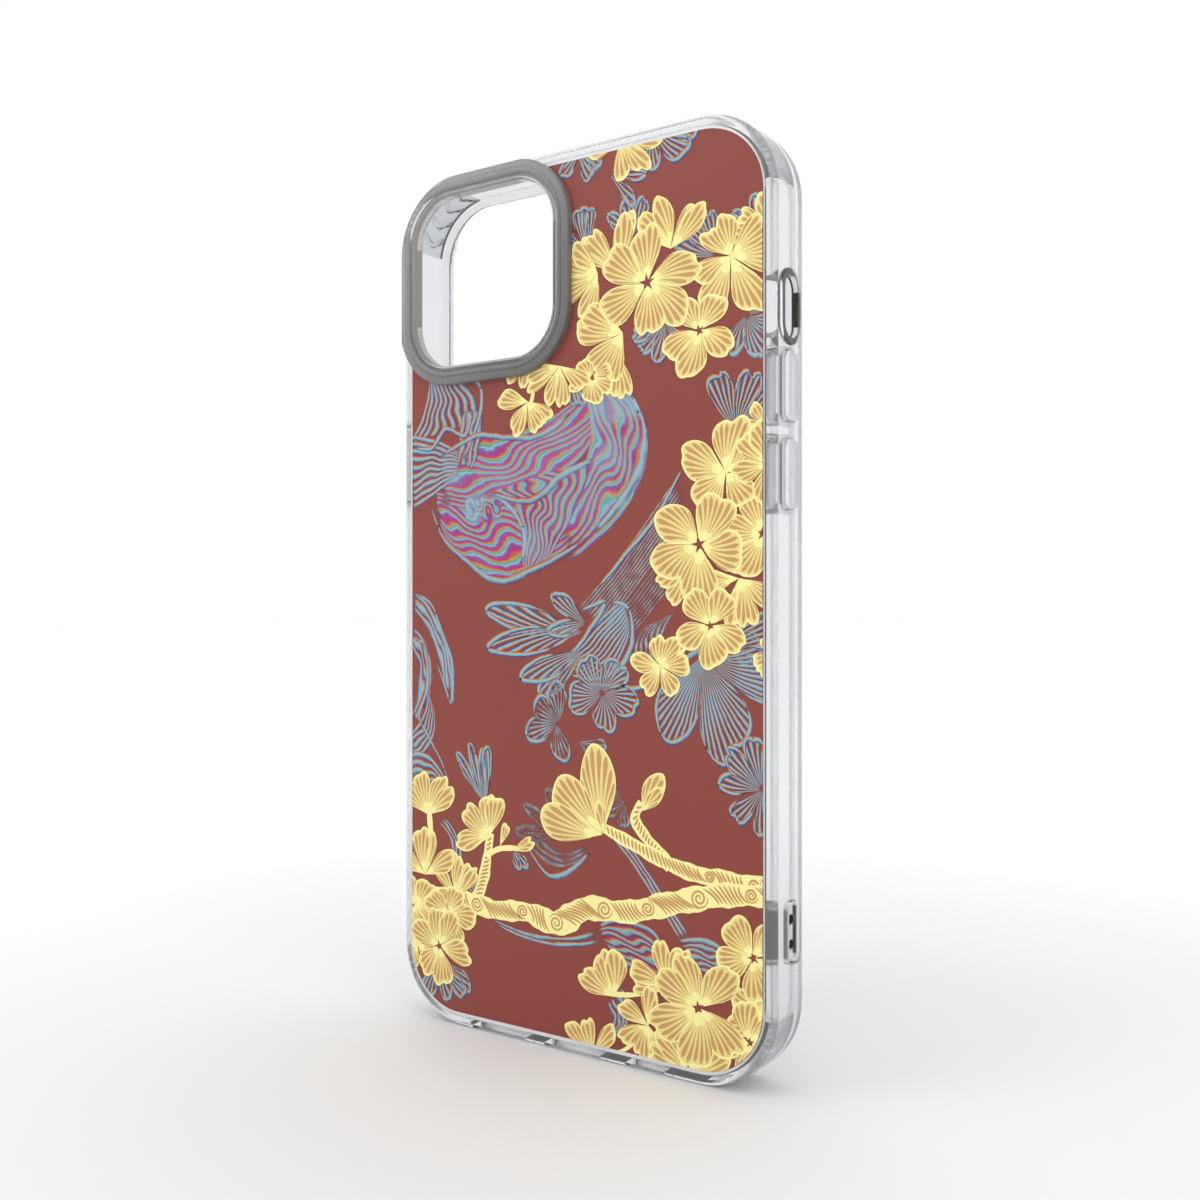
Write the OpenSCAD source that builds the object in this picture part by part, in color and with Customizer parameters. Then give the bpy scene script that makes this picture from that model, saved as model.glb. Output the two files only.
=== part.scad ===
// Clear hybrid phone case: a soft bumper around a hard printed back plate.
// Origin: middle of the footprint, on the surface that the case stands on.
// +Z is up, the printed back faces -Y, and the phone goes in from +Y.
// Millimetres throughout.

/* [Phone] */
// Width of the phone that the pocket holds
phone_w = 77.8; // [74:0.1:82]
// Height of that phone
phone_h = 160.9; // [156:0.1:168]
// Thickness of that phone
phone_t = 7.8; // [7.4:0.1:9]
// Corner radius of that phone, seen from its back
phone_r = 11.9; // [11.5:0.1:13]
// Room left on each side of the phone
phone_gap = 0.1; // [0.05:0.05:0.2]

/* [Bumper] */
// Thickness of the bumper's wall
wall = 2.8; // [2.6:0.1:3.4]
// Radius of the wall's outer edges
edge_r = 1.3; // [0.8:0.1:1.5]
// Thickness of the lip in front of the screen
lip_t = 1.65; // [1.4:0.05:2.2]
// How far the lip reaches over the screen
lip_overlap = 1.1; // [0.8:0.1:1.5]

/* [Back plate] */
// Thickness of the hard plate
plate_t = 1.2; // [1:0.1:1.6]
// How far the plate's edge reaches into the bumper
plate_lap = 0.8; // [0.6:0.1:0.9]
// Thickness of each printed layer
ink_t = 0.05; // [0.04:0.01:0.08]

/* [Camera guard] */
// Width of the camera window
window_w = 34.5; // [30:0.5:36]
// Height of the camera window
window_h = 33.4; // [30:0.5:36]
// Corner radius of the camera window
window_r = 9; // [9:0.5:11]
// Width of the raised band around the window
guard_band = 3.7; // [3.2:0.1:4.2]
// How far the guard stands out of the bumper's back
guard_rise = 1.5; // [1.2:0.1:2.2]

/* [Buttons] */
// Length of each volume button's cover
volume_len = 12; // [10:0.5:12]
// Length of the power button's cover
power_len = 16; // [12:0.5:18]
// Width of the covers
cover_w = 5.6; // [4.6:0.1:5.6]
// How far the covers stand out of the wall
cover_proud = 0.45; // [0.3:0.05:0.7]
// How far a cover can be pressed in
cover_travel = 0.4; // [0.3:0.05:0.4]

/* [Cut-outs] */
// Length of the slot over the mute switch
mute_len = 10.6; // [9:0.2:11]
// Width of the slot over the mute switch
mute_w = 4.8; // [4.6:0.1:5]
// Width of the charging port's cut-out
port_w = 12.6; // [11:0.2:14]
// Height of the charging port's cut-out
port_t = 6.4; // [5.6:0.1:6.6]
// Width of the cut-out for the speaker on the left
speaker_w = 13; // [10:0.5:14]
// Width of the cut-out for the microphone on the right
microphone_w = 8.2; // [7:0.2:10]
// Height of the speaker and microphone cut-outs
grille_t = 5; // [4.6:0.1:5.4]

/* [Lanyard] */
// Diameter of the two lanyard holes
lanyard_d = 1.8; // [1.4:0.1:2]
// Distance between the two holes
lanyard_pitch = 4.3; // [3.8:0.1:4.8]

/* [Hidden] */
$fn = 64;

// Depths are measured towards the printed back, from the middle of the case.
phone_float = 0.15;                // play between the phone and the front lip
rim_step = 0.2;                    // the bumper's rim stands this far out of the plate
case_t = lip_t + phone_t + phone_float + plate_t + rim_step + guard_rise;
d_front = -case_t / 2;             // front face of the lip
d_glass = d_front + lip_t;         // the lip's face over the screen
d_seat = d_glass + phone_t + phone_float;  // where the phone's back rests
d_plate = d_seat + plate_t;        // outer face of the plate
d_step = d_seat + 0.35;            // the bumper grips the plate's edge up to here
d_rim = d_plate + rim_step;        // back face of the bumper's rim
d_guard = d_rim + guard_rise;      // outermost face of the camera guard
d_key = (d_glass + d_seat) / 2;    // middle of the phone's thickness

pocket_w = phone_w + 2 * phone_gap;
pocket_h = phone_h + 2 * phone_gap;
pocket_r = phone_r + phone_gap;
case_w = pocket_w + 2 * wall;
case_h = pocket_h + 2 * wall;
clear = 0.2;                       // running gap around a moving cover
over = 1;                          // how far a cutting tool runs past a face

// Print
print_side_inset = 0.3;            // bare plate left at each side of the print
print_end_inset = 0.7;             // and at its top and bottom

// Camera guard
window_from_side = 1;              // from the pocket's side to the window
window_from_top = 1.3;             // from the pocket's top to the window
window_x = -pocket_w / 2 + window_from_side + window_w / 2;
window_y = pocket_h / 2 - window_from_top - window_h / 2;
collar_t = 0.5;                    // the guard's collar lines the plate's window
guard_inset = 0.5;                 // the guard stands back from the case's outer edge
guard_edge_r = 0.6;                // rounding of the raised band
step_w = 1.1;                      // width of the lower step beside the window
step_drop = 0.75;                  // how far that step lies below the band
bead_r = 0.3;                      // the bead along the step's foot
flute_w = 0.3;                     // the shallow flute along the band's inner side
flute_deep = 0.15;
flute_in = 0.95;                   // from the lower step to the flute

// Places on the flanks, down from the pocket's top edge
mute_drop = 31.1;
volume_up_drop = 44.6;
volume_down_drop = 59.4;
power_drop = 52.9;

// Button covers
cover_r = 1.8;                     // corner radius of a cover
flange_w = 0.6;                    // the flange that keeps a cover in
flange_t = 0.65;
flange_gap = 0.15;                 // from the flange to the shoulder that stops it
cover_edge_r = 0.35;

// Frame around the mute slot
mute_rim = 1.2;
mute_proud = 0.35;
mute_sink = 0.9;

// Cut-outs in the bottom wall
speaker_x = -17.2;
microphone_x = 16;
scoop_deep = 0.9;                  // the scoop from each cut-out to the back edge

// Lanyard anchor
lanyard_y = 24.1 - pocket_h / 2;   // middle of the anchor, from the case's middle
anchor_len = 10.6;
anchor_w = 4.4;
anchor_r = 1.2;
anchor_t = 2;                      // thickness that the holes run through
lanyard_depth = -2.5;              // the holes lie in the front half of the flank

// Corner cushions
cushion_t = 1.1;
cushion_from = 8;                  // angles around a corner
cushion_to = 82;
cushion_low = -3.55;
cushion_high = 3;
chevrons = 4;
chevron_w = 1;
chevron_deep = 0.6;
chevron_arm = 3.2;
chevron_tilt = 32;

CLEAR_TPU = [0.86, 0.88, 0.9, 0.45];
CLEAR_PC = [0.92, 0.94, 0.96, 0.35];
CUSHION_TPU = [0.76, 0.79, 0.82, 0.55];
WHITE_INK = [0.93, 0.92, 0.9];
PRINT_MAROON = [0.56, 0.32, 0.29];

// ---- helpers ----------------------------------------------------------

// Stands a case drawn lying on its screen side up on its bottom edge.
module upright() translate([0, 0, case_h / 2]) rotate([90, 0, 0]) children();

// Rounded rectangle, centred.
module soft_rect(w, h, r) {
    square([w - 2 * r, h], center = true);
    square([w, h - 2 * r], center = true);
    for (sx = [-1, 1], sy = [-1, 1])
        translate([sx * (w / 2 - r), sy * (h / 2 - r)]) circle(r);
}

// The pocket's outline, grown outwards.
module outline(grow = 0) soft_rect(pocket_w + 2 * grow, pocket_h + 2 * grow, pocket_r + grow);

// Places its children at corner i of a w by h rectangle with corner radius r,
// turned so that +X and +Y point out of the case.
module at_corner(i, w, h, r)
    translate([(i == 0 || i == 3 ? 1 : -1) * (w / 2 - r), (i < 2 ? 1 : -1) * (h / 2 - r), 0])
        rotate(90 * i) children();

// Sweeps a section around a rounded rectangle. The section's x is the
// distance outwards from the path and its y is the depth.
module ring(w, h, r)
    for (i = [0:3])
        at_corner(i, w, h, r) {
            rotate_extrude(angle = 90) translate([r, 0]) children();
            translate([r, 0, 0]) rotate([90, 0, 0])
                linear_extrude(i % 2 == 0 ? h - 2 * r : w - 2 * r) children();
        }

// Rounded slab from z = 0 to z = t, its upper edges rounded by e.
module soft_slab(w, h, r, t, e) {
    linear_extrude(t - e) soft_rect(w, h, r);
    linear_extrude(t) soft_rect(w - 2 * e, h - 2 * e, r - e);
    ring(w - 2 * e, h - 2 * e, r - e)
        translate([0, t - e]) intersection() {
            circle(e);
            square(e);
        }
}

// Points a shape's z out of the +X flank; its x runs up and its y runs back.
module on_flank(x, y, d) translate([x, y, d]) rotate([90, 0, 90]) children();

// Points a shape's z out of the bottom wall, at pocket depth y = 0.
module on_bottom(x, d) translate([x, -pocket_h / 2, d]) rotate([90, 0, 0]) children();

module window_outline(grow = 0)
    translate([window_x, window_y])
        soft_rect(window_w + 2 * grow, window_h + 2 * grow, window_r + grow);

module guard_outline()
    intersection() {
        window_outline(guard_band);
        outline(wall - guard_inset);
    }

// ---- bumper -----------------------------------------------------------

module bumper_section() {
    difference() {
        union() {
            polygon([[0, d_front], [wall - edge_r, d_front], [wall, d_front + edge_r],
                     [wall, d_rim - edge_r], [wall - edge_r, d_rim], [0, d_rim]]);
            for (d = [d_front + edge_r, d_rim - edge_r])
                translate([wall - edge_r, d]) circle(edge_r);
        }
        translate([-over, d_seat]) square([over, d_rim]);
        translate([-over, d_step]) square([over + plate_lap, d_rim]);
    }
    lip_r = lip_t / 3;
    translate([-lip_overlap, d_front + lip_r]) square([lip_overlap, lip_t - lip_r]);
    translate([lip_r - lip_overlap, d_front]) square([lip_overlap - lip_r, lip_t]);
    translate([lip_r - lip_overlap, d_front + lip_r]) circle(lip_r);
}

// Hole and counterbore that a button cover slides in.
module cover_hole(length, y)
    on_flank(pocket_w / 2, y, d_key) {
        translate([0, 0, -over]) linear_extrude(wall + 2 * over)
            soft_rect(length + 2 * clear, cover_w + 2 * clear, cover_r + clear);
        translate([0, 0, -over]) linear_extrude(over + cover_travel + cover_seat())
            soft_rect(length + 2 * (flange_w + clear), cover_w + 2 * (flange_w + clear),
                      cover_r + flange_w);
    }

function cover_seat() = flange_t + flange_gap + 0.05;

module port_cut(width, thick, x) {
    on_bottom(x, d_key) {
        translate([0, 0, -over]) linear_extrude(wall + 2 * over)
            soft_rect(width, thick, thick / 2 - 0.1);
        translate([0, 0, wall - scoop_deep]) linear_extrude(scoop_deep + over)
            translate([-width / 2, 0]) square([width, case_t]);
    }
}

module cushion_envelope(back = 0)
    rotate(cushion_from) rotate_extrude(angle = cushion_to - cushion_from)
        translate([pocket_r - back, cushion_low])
            square([cushion_t + back, cushion_high - cushion_low]);

module bumper_frame()
    color(CLEAR_TPU)
    upright()
    difference() {
        union() {
            ring(pocket_w, pocket_h, pocket_r) bumper_section();
            // flat shoulder under the camera guard
            translate([0, 0, d_seat - 1]) linear_extrude(d_plate - d_seat + 1)
                difference() {
                    guard_outline();
                    outline(plate_lap);
                }
        }
        translate([0, 0, d_plate]) linear_extrude(over) guard_outline();
        cover_hole(volume_len, pocket_h / 2 - volume_up_drop);
        cover_hole(volume_len, pocket_h / 2 - volume_down_drop);
        mirror([1, 0, 0]) cover_hole(power_len, pocket_h / 2 - power_drop);
        on_flank(pocket_w / 2, pocket_h / 2 - mute_drop, d_key) {
            translate([0, 0, -over]) linear_extrude(wall + 2 * over)
                soft_rect(mute_len, mute_w, mute_w / 2 - 0.1);
            translate([0, 0, wall - mute_sink]) linear_extrude(mute_sink + over)
                soft_rect(mute_len + 2 * mute_rim, mute_w + 2 * mute_rim,
                          mute_w / 2 - 0.1 + mute_rim);
        }
        port_cut(port_w, port_t, 0);
        port_cut(speaker_w, grille_t, speaker_x);
        port_cut(microphone_w, grille_t, microphone_x);
        on_flank(pocket_w / 2 - over, lanyard_y, lanyard_depth)
            linear_extrude(wall + 2 * over) soft_rect(anchor_len, anchor_w, anchor_r);
        for (i = [0:3])
            at_corner(i, pocket_w, pocket_h, pocket_r) cushion_envelope(0.3);
    }

// ---- back plate and print ---------------------------------------------

module back_plate()
    color(CLEAR_PC)
    upright()
    difference() {
        union() {
            translate([0, 0, d_seat]) linear_extrude(plate_t) outline();
            translate([0, 0, d_step]) linear_extrude(d_plate - d_step) outline(plate_lap);
        }
        translate([0, 0, d_seat - over]) linear_extrude(plate_t + 2 * over)
            window_outline(collar_t);
    }

module print_layer(level)
    upright()
    translate([0, 0, d_plate + level * ink_t]) linear_extrude(ink_t)
        difference() {
            soft_rect(pocket_w + 2 * (plate_lap - print_side_inset),
                      pocket_h + 2 * (plate_lap - print_end_inset), pocket_r);
            guard_outline();
        }

module ink_base() color(WHITE_INK) print_layer(0);

module artwork_print() color(PRINT_MAROON) print_layer(1);

// ---- camera guard -----------------------------------------------------

// Section of the guard: x runs outwards from the window's edge.
module guard_section() difference() {
    guard_solid();
    translate([step_w + flute_in, d_guard - flute_deep]) square([flute_w, over]);
}

module guard_solid() {
    band_w = guard_band - step_w;
    translate([0, d_seat]) square([collar_t, d_plate - d_seat]);
    translate([0, d_plate]) square([step_w + guard_edge_r, d_guard - step_drop - d_plate]);
    translate([step_w, d_plate]) square([band_w, d_guard - guard_edge_r - d_plate]);
    translate([step_w + guard_edge_r, d_plate])
        square([band_w - 2 * guard_edge_r, d_guard - d_plate]);
    for (x = [step_w + guard_edge_r, guard_band - guard_edge_r])
        translate([x, d_guard - guard_edge_r]) circle(guard_edge_r);
    translate([bead_r, d_guard - step_drop]) circle(bead_r);
}

module camera_guard()
    color(CLEAR_TPU)
    upright()
    intersection() {
        translate([window_x, window_y, 0]) ring(window_w, window_h, window_r) guard_section();
        soft_slab(case_w - 2 * guard_inset, case_h - 2 * guard_inset,
                  pocket_r + wall - guard_inset, d_guard, guard_edge_r);
    }

// ---- button covers ----------------------------------------------------

module button_cover(length, y)
    upright()
    on_flank(pocket_w / 2 + cover_travel + 0.05, y, d_key) {
        linear_extrude(flange_t)
            soft_rect(length + 2 * flange_w, cover_w + 2 * flange_w, cover_r + flange_w / 2);
        soft_slab(length, cover_w, cover_r, wall + cover_proud - cover_travel - 0.05,
                  cover_edge_r);
    }

module volume_up_cover()
    color(CLEAR_TPU) button_cover(volume_len, pocket_h / 2 - volume_up_drop);

module volume_down_cover()
    color(CLEAR_TPU) button_cover(volume_len, pocket_h / 2 - volume_down_drop);

module power_cover()
    color(CLEAR_TPU) mirror([1, 0, 0]) button_cover(power_len, pocket_h / 2 - power_drop);

// ---- inserts ----------------------------------------------------------

module mute_slot_frame()
    color(CLEAR_PC)
    upright()
    on_flank(pocket_w / 2 + wall - mute_sink, pocket_h / 2 - mute_drop, d_key)
        difference() {
            soft_slab(mute_len + 2 * mute_rim, mute_w + 2 * mute_rim,
                      mute_w / 2 - 0.1 + mute_rim, mute_sink + mute_proud, cover_edge_r);
            translate([0, 0, -over]) linear_extrude(mute_sink + mute_proud + 2 * over)
                soft_rect(mute_len, mute_w, mute_w / 2 - 0.1);
        }

module lanyard_anchor()
    color(CLEAR_PC)
    upright()
    on_flank(pocket_w / 2, lanyard_y, lanyard_depth)
        difference() {
            linear_extrude(anchor_t) soft_rect(anchor_len, anchor_w, anchor_r);
            for (s = [-1, 1])
                translate([s * lanyard_pitch / 2, 0, -over])
                    cylinder(d = lanyard_d, h = anchor_t + 2 * over);
        }

module chevron()
    for (s = [-1, 1])
        rotate([s * chevron_tilt, 0, 0])
            translate([0, -chevron_w / 2, s < 0 ? -chevron_arm : 0])
                cube([chevron_deep, chevron_w, chevron_arm]);

module corner_cushion(i)
    color(CUSHION_TPU)
    upright()
    at_corner(i, pocket_w, pocket_h, pocket_r)
        difference() {
            cushion_envelope();
            for (k = [0:chevrons - 1])
                rotate(cushion_from + (k + 0.5) * (cushion_to - cushion_from) / chevrons)
                    translate([pocket_r - 0.05, 0, (cushion_low + cushion_high) / 2])
                        chevron();
        }

bumper_frame();
back_plate();
ink_base();
artwork_print();
camera_guard();
volume_up_cover();
volume_down_cover();
power_cover();
mute_slot_frame();
lanyard_anchor();
corner_cushion(0);  // corner_cushion_top_right
corner_cushion(1);  // corner_cushion_top_left
corner_cushion(2);  // corner_cushion_bottom_left
corner_cushion(3);  // corner_cushion_bottom_right
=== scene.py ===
"""Finishes, printed picture and stage of a clear phone case.

The case's solids come from the frame and keep their shapes. This file gives each of them a
finish, prints the picture on the back as thin raised ink, and sets the floor, lights and camera.
"""

import math
import random

import bmesh
import bpy
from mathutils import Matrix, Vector


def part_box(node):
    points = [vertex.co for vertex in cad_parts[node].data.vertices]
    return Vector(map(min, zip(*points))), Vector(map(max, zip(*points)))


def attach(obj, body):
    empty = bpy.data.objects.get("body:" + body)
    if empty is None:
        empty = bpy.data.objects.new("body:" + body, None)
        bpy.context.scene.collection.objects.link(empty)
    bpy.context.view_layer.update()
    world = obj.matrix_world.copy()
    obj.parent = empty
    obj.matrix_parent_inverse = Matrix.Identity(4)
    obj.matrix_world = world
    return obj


bl_info = {
    "name": "Clear printed phone case",
    "version": (1, 0, 0),
    "blender": (4, 5, 0),
    "location": "View3D > Sidebar > Phone case",
    "description": "Finishes, printed picture and stage of a clear phone case",
    "category": "Object",
}

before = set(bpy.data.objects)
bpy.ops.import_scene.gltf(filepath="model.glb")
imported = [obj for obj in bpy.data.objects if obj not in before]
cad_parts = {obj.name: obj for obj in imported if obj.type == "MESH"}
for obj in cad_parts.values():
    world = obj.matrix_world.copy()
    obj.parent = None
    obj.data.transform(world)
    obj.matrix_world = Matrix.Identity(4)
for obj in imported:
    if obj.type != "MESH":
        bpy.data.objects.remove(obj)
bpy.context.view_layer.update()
MM = 0.001
FILM_LOW, FILM_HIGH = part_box("artwork_print")
GUARD_LOW, GUARD_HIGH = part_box("camera_guard")
CASE_LOW, CASE_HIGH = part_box("bumper_frame")

# ---------------------------------------------------------------- colours


def linear(red, green, blue):
    """A display colour of 0 to 255 as the linear colour that shaders take."""
    values = [v / 255 for v in (red, green, blue)]
    return tuple(v / 12.92 if v <= 0.04045 else ((v + 0.055) / 1.055) ** 2.4 for v in values)


GROUND = linear(134, 61, 52)
CREAM = linear(244, 236, 158)
RIB = linear(230, 210, 134)
TAN = linear(194, 150, 92)
ORANGE = linear(196, 84, 44)
OLIVE = linear(172, 150, 60)
SKY = linear(136, 178, 196)
TEAL = linear(56, 146, 142)
INDIGO = linear(96, 46, 124)
MAGENTA = linear(164, 40, 122)
VIOLET = linear(112, 82, 148)

# ---------------------------------------------------------------- settings


def colour_property(name, description, value):
    return bpy.props.FloatVectorProperty(
        name=name, description=description, subtype="COLOR", size=3, min=0, max=1, default=value
    )


def length_property(name, description, value):
    return bpy.props.FloatProperty(
        name=name, description=description, subtype="DISTANCE", unit="LENGTH",
        min=0, default=value, precision=5,
    )


def share_property(name, description, value):
    return bpy.props.FloatProperty(
        name=name, description=description, subtype="FACTOR", min=0, max=1, default=value
    )


class PrintSettings(bpy.types.PropertyGroup):
    """Inks and line widths of the printed picture."""

    ground: colour_property("Ground", "Ink behind the flowers", GROUND)
    cream: colour_property("Cream", "Ink of the petals' rims and of the bark", CREAM)
    rib: colour_property("Rib", "Ink of a petal's ribs", RIB)
    tan: colour_property("Tan", "Ink between a petal's ribs", TAN)
    rim: length_property("Petal rim", "Width of the cream rim around a petal", 0.42 * MM)
    layer: length_property("Ink layer", "Height of one printed layer", 0.003 * MM)
    gloss: share_property("Roughness", "Roughness of the varnish over the inks", 0.42)


class PlasticSettings(bpy.types.PropertyGroup):
    """Tints of the clear plastics."""

    bumper: colour_property("Bumper", "Tint of the soft bumper", (0.87, 0.88, 0.9))
    guard: colour_property("Guard", "Tint of the camera guard", (1.0, 1.0, 1.0))
    plate: colour_property("Hard inserts", "Tint of the hard clear inserts", (0.95, 0.96, 0.97))
    backed: colour_property("Plate", "Back plate over its white ink", (0.72, 0.73, 0.74))
    cushion: colour_property("Cushions", "Tint of the corner cushions", (0.87, 0.89, 0.91))
    rough: share_property("Roughness", "Roughness of the polished plastic", 0.1)


class StageSettings(bpy.types.PropertyGroup):
    """Floor, lights and camera."""

    # painted shadow: the floor beside the case is darker, fading to the far colour
    floor_painted_shadow: colour_property("Floor near", "Floor beside the case", (0.82, 0.82, 0.825))
    floor_far: colour_property("Floor far", "Floor far from the case", (1.0, 1.0, 1.0))
    camera_aside: length_property("Camera aside", "Camera's place to the right", 139.4 * MM)
    camera_away: length_property("Camera away", "Camera's distance from the print", 190.9 * MM)
    camera_turn: bpy.props.FloatProperty(
        name="Camera turn", description="Turn of the camera towards the case",
        subtype="ANGLE", default=math.radians(34.85),
    )
    lens: bpy.props.FloatProperty(
        name="Lens", description="Focal length on a 36 mm wide sensor", default=38.6, min=10
    )


def settings():
    scene = bpy.context.scene
    return scene.case_print, scene.case_plastic, scene.case_stage


# ---------------------------------------------------------------- shaders


class Value:
    """A number that varies over a surface: arithmetic on it adds Math nodes."""

    def __init__(self, shader, socket):
        self.shader = shader
        self.socket = socket

    def _math(self, operation, first, second):
        return self.shader.add("Math", {"operation": operation}, {0: first, 1: second})

    def __add__(self, other):
        return self._math("ADD", self, other)

    __radd__ = __add__

    def __sub__(self, other):
        return self._math("SUBTRACT", self, other)

    def __rsub__(self, other):
        return self._math("SUBTRACT", other, self)

    def __mul__(self, other):
        return self._math("MULTIPLY", self, other)

    def __gt__(self, other):
        return self._math("GREATER_THAN", self, other)


class Shader:
    """A material's node tree with its Principled shader, ready to be wired."""

    def __init__(self, name, **constants):
        self.material = bpy.data.materials.new(name)
        self.material.use_nodes = True
        self.tree = self.material.node_tree
        self.principled = self.tree.nodes["Principled BSDF"]
        for socket, value in constants.items():
            self.principled.inputs[socket.replace("_", " ")].default_value = value

    def add(self, kind, options=None, sockets=None, output=0):
        """Adds one node, sets its options and feeds its sockets. Returns an output."""
        node = self.tree.nodes.new("ShaderNode" + kind)
        for option, value in (options or {}).items():
            if option == "stops":
                self._set_stops(node.color_ramp, value)
            else:
                setattr(node, option, value)
        for key, value in (sockets or {}).items():
            if isinstance(value, Value):
                self.tree.links.new(value.socket, node.inputs[key])
            else:
                node.inputs[key].default_value = value
        return Value(self, node.outputs[output])

    @staticmethod
    def _set_stops(ramp, stops):
        while len(ramp.elements) < len(stops):
            ramp.elements.new(0.5)
        for element, (place, value) in zip(ramp.elements, stops):
            element.position = place
            element.color = (*value, 1) if len(value) == 3 else value

    def feed(self, socket, value):
        self.tree.links.new(value.socket, self.principled.inputs[socket])

    def places(self, scale=(1, 1, 1)):
        """Object coordinates, in metres, stretched by scale."""
        spot = self.add("TexCoord", output="Object")
        return self.add("Mapping", None, {"Vector": spot, "Scale": scale})

    def noise(self, scale, detail=2.0, stretch=(1, 1, 1), roughness=0.5):
        return self.add(
            "TexNoise", None,
            {"Vector": self.places(stretch), "Scale": scale, "Detail": detail,
             "Roughness": roughness},
        )

    def blend(self, share, first, second):
        """A colour between two colours."""
        return self.add(
            "Mix", {"data_type": "RGBA"}, {"Factor": share, "A": first, "B": second}, "Result"
        )

    def bump(self, height, strength, distance):
        self.feed("Normal", self.add(
            "Bump", None, {"Height": height, "Strength": strength, "Distance": distance}
        ))


def rgba(colour):
    return (*colour, 1.0)


def shade(colour, factor):
    return tuple(min(1.0, c * factor) for c in colour)


def satin(shader):
    """The fine grain and satin varnish that all the inks share. Returns the grain."""
    grain = shader.noise(5200, 3.0)
    cloud = shader.noise(38)
    shader.feed("Roughness", settings()[0].gloss + (grain - 0.5) * 0.16 + (cloud - 0.5) * 0.08)
    shader.bump(grain, 0.12, 0.01 * MM)
    return grain * 0.6 + cloud * 0.4


def grainy(shader, colour, grain):
    """A flat ink with a little more or less pigment from place to place."""
    return shader.blend(grain, rgba(shade(colour, 0.93)), rgba(shade(colour, 1.06)))


def ink_finish(name, colour):
    """Printing ink of one colour under a satin varnish."""
    shader = Shader(name, Specular_IOR_Level=0.35)
    shader.feed("Base Color", grainy(shader, colour, satin(shader)))
    return shader.material


# Colours across one line of the fine ghosts, where the ground shows between two such lines, and
# colours across one fold of the silky ghosts.
LINE_STOPS = ((0.0, ORANGE), (0.2, ORANGE), (0.32, OLIVE), (0.43, SKY), (0.56, SKY),
              (0.65, TEAL), (0.77, INDIGO), (1.0, INDIGO))
BARE_STOPS = ((0.0, (0, 0, 0)), (0.1, (0, 0, 0)), (0.2, (1, 1, 1)), (0.82, (1, 1, 1)),
              (0.94, (0, 0, 0)))
SILK_STOPS = ((0.0, MAGENTA), (0.2, MAGENTA), (0.31, ORANGE), (0.43, OLIVE), (0.56, TEAL),
              (0.7, SKY), (0.86, VIOLET), (1.0, MAGENTA))


def slipped_finish(name):
    """Inks of the ghost flowers, whose colour plates have slipped: each line runs from orange
    through olive and pale blue to indigo. The mesh says where in a line a point lies."""
    shader = Shader(name, Specular_IOR_Level=0.35)
    ground = grainy(shader, tuple(settings()[0].ground), satin(shader))
    own = shader.add("Attribute", {"attribute_name": "ink"}, output="Color")
    slip, strength, shine = (shader.add("SeparateColor", None, {"Color": own}, channel)
                             for channel in ("Red", "Green", "Blue"))
    kind = shader.add("Attribute", {"attribute_name": "ink"}, output="Alpha")
    drift = (shader.noise(150) - 0.5) * (kind * 0.9 + 0.35)
    drift = drift + (shader.noise(700) - 0.5) * 0.25
    place = shader.add("Math", {"operation": "FRACT"}, {0: slip + drift})
    lines = shader.add("ValToRGB", {"stops": LINE_STOPS}, {"Fac": place}, "Color")
    silk = shader.add("ValToRGB", {"stops": SILK_STOPS}, {"Fac": place}, "Color")
    colour = shader.blend(kind, lines, silk)
    shine = shine * (shader.noise(140) - 0.4) * 5
    colour = shader.blend(shine, colour, rgba(SKY))
    firm = strength * 2.1 - shader.noise(420) * 1.3
    bare = shader.add("ValToRGB", {"stops": BARE_STOPS}, {"Fac": place}, "Color")
    cover = shader.add("Math", {"operation": "MULTIPLY", "use_clamp": True}, {0: firm, 1: 1.0})
    opaque = shader.add("Math", {"operation": "MAXIMUM"}, {0: bare, 1: kind})
    shader.feed("Base Color", shader.blend(firm, ground, colour))
    shader.feed("Alpha", cover * opaque)
    return shader.material


PAINTED_SHADE_DEPTH = 0.46          # share of its tint that the painted shade leaves at the plastic's darkest corner


def clear_finish(name, tint, rough, milk, painted_shade_box=None):
    """Clear moulded plastic, slightly milky: faint flow waves, handling marks and haze. Its
    colour can carry painted shade across a box, darkening from the top left to the bottom right."""
    shader = Shader(name, Transmission_Weight=1.0 - milk, IOR=1.46, Base_Color=rgba(tint))
    # painted shade: the colour darkens from the box's top left to its bottom right
    if painted_shade_box:
        low, high = painted_shade_box
        spot = shader.places()
        x, z = (shader.add("SeparateXYZ", None, {"Vector": spot}, axis) for axis in "XZ")
        across = (x - low.x) * (0.5 / (high.x - low.x)) + (high.z - z) * (0.5 / (high.z - low.z))
        share = shader.add("MapRange", {"interpolation_type": "SMOOTHSTEP"}, {"Value": across})
        shader.feed("Base Color", shader.blend(share, rgba(tint), rgba(shade(tint, PAINTED_SHADE_DEPTH))))
    flow = shader.noise(60, 2.0, (1, 1, 0.35))
    marks = shader.noise(420, 4.0, (1, 1, 0.12), 0.65)
    shader.feed("Roughness", rough + (marks > 0.62) * 0.05 + flow * 0.03)
    shader.bump(flow, 0.10, 0.05 * MM)
    return shader.material


# ---------------------------------------------------------------- flat geometry in millimetres


def rounded_outline(box, radius, steps=8):
    """Corner points of a rounded rectangle, counter-clockwise seen with y down."""
    left, top, right, bottom = box
    centres = [(right - radius, bottom - radius, 0), (left + radius, bottom - radius, 90),
               (left + radius, top + radius, 180), (right - radius, top + radius, 270)]
    points = []
    for x, y, start in centres:
        for step in range(steps + 1):
            angle = math.radians(start + 90 * step / steps)
            points.append((x + radius * math.cos(angle), y + radius * math.sin(angle)))
    return points


def on_film(x, z):
    """A place in the row frame as millimetres from the print's top left corner."""
    return (x - FILM_LOW.x) / MM, (FILM_HIGH.z - z) / MM


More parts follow.
